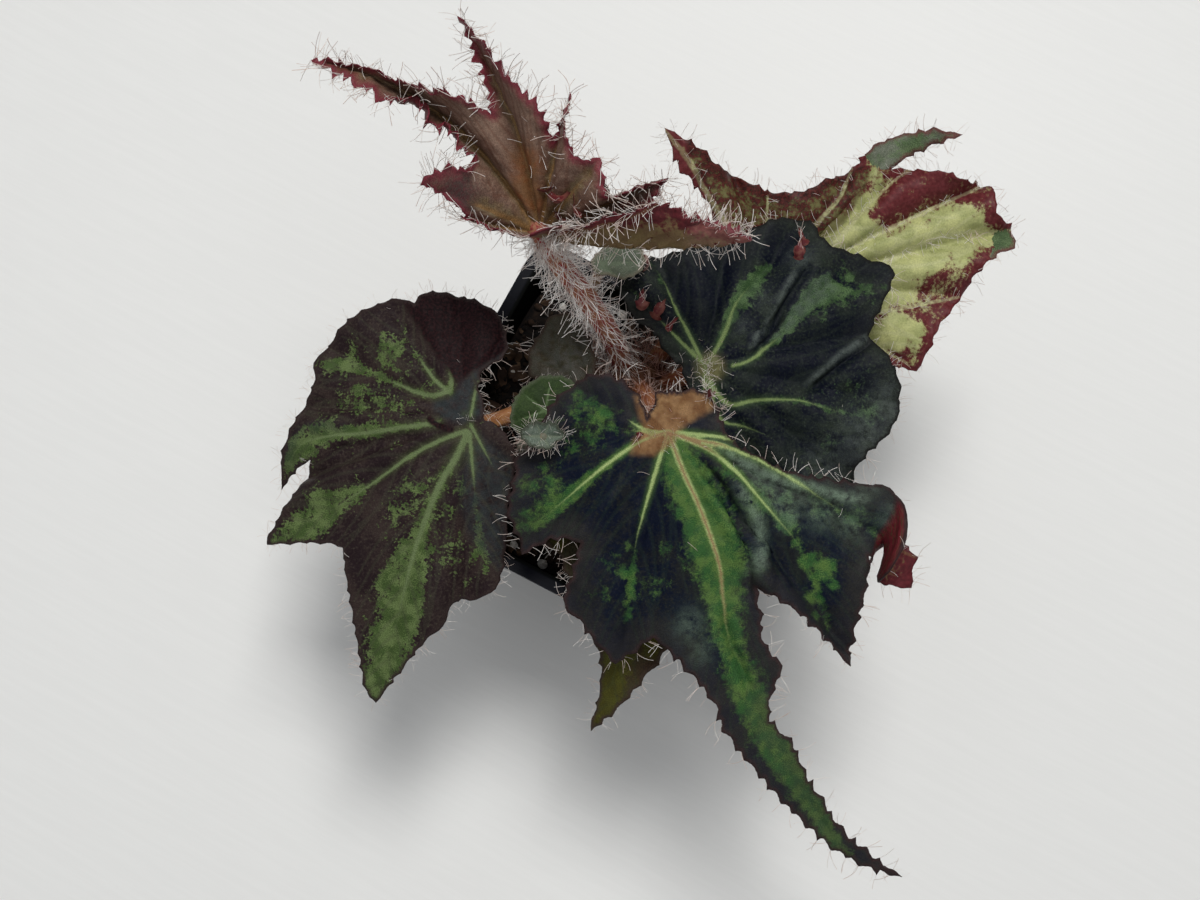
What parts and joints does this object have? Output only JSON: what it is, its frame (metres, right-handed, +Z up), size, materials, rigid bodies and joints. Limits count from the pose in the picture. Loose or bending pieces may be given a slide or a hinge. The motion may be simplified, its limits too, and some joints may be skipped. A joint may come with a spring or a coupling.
{
  "type": "potted begonia",
  "caption": "Rhizomatous begonia with large lobed, toothed, patterned leaves on hairy stalks, growing in a small square black nursery pot of potting mix.",
  "frame": {"origin": "centre of the pot's flat base, on the surface it stands on", "axes": "+Z up, X and Y along the pot's square sides; the long tip of the front leaf points to +X and -Y"},
  "size_m": [0.1935, 0.1785, 0.137],
  "materials": {
    "black_plastic": "satin black moulded nursery pot",
    "potting_mix": "rough dark potting mix with bark and perlite",
    "rhizome_skin": "rough reddish brown living stem",
    "leaf_front": "satin green and blackish blue leaf",
    "stalk_front": "reddish tan stalk with white hairs",
    "leaf_right": "satin dark blue-green leaf",
    "stalk_right": "reddish tan stalk with white hairs",
    "leaf_left": "satin brown leaf with green patches",
    "stalk_left": "reddish tan stalk with white hairs",
    "leaf_young": "red-brown hairy young leaf",
    "stalk_young": "reddish tan stalk with white hairs",
    "leaf_back": "pale green underside blotched with red",
    "stalk_back": "reddish tan stalk with white hairs",
    "leaf_under": "olive green leaf with brown-red edges",
    "stalk_under": "reddish tan stalk with white hairs",
    "leaf_kidney": "plain green leaf",
    "stalk_kidney": "reddish tan stalk with white hairs",
    "leaf_bud": "pale green hairy leaf",
    "stalk_bud": "reddish tan stalk with white hairs",
    "leaf_pale": "pale green leaf",
    "stalk_pale": "reddish tan stalk with white hairs"
  },
  "bodies": {
    "root": {"pot": "black_plastic", "soil": "potting_mix", "rhizome": "rhizome_skin", "leaf_front": "leaf_front", "stalk_front": "stalk_front", "leaf_right": "leaf_right", "stalk_right": "stalk_right", "leaf_left": "leaf_left", "stalk_left": "stalk_left", "leaf_young": "leaf_young", "stalk_young": "stalk_young", "leaf_back": "leaf_back", "stalk_back": "stalk_back", "leaf_under": "leaf_under", "stalk_under": "stalk_under", "leaf_kidney": "leaf_kidney", "stalk_kidney": "stalk_kidney", "leaf_bud": "leaf_bud", "stalk_bud": "stalk_bud", "leaf_pale": "leaf_pale", "stalk_pale": "stalk_pale"}
  },
  "joints": []
}
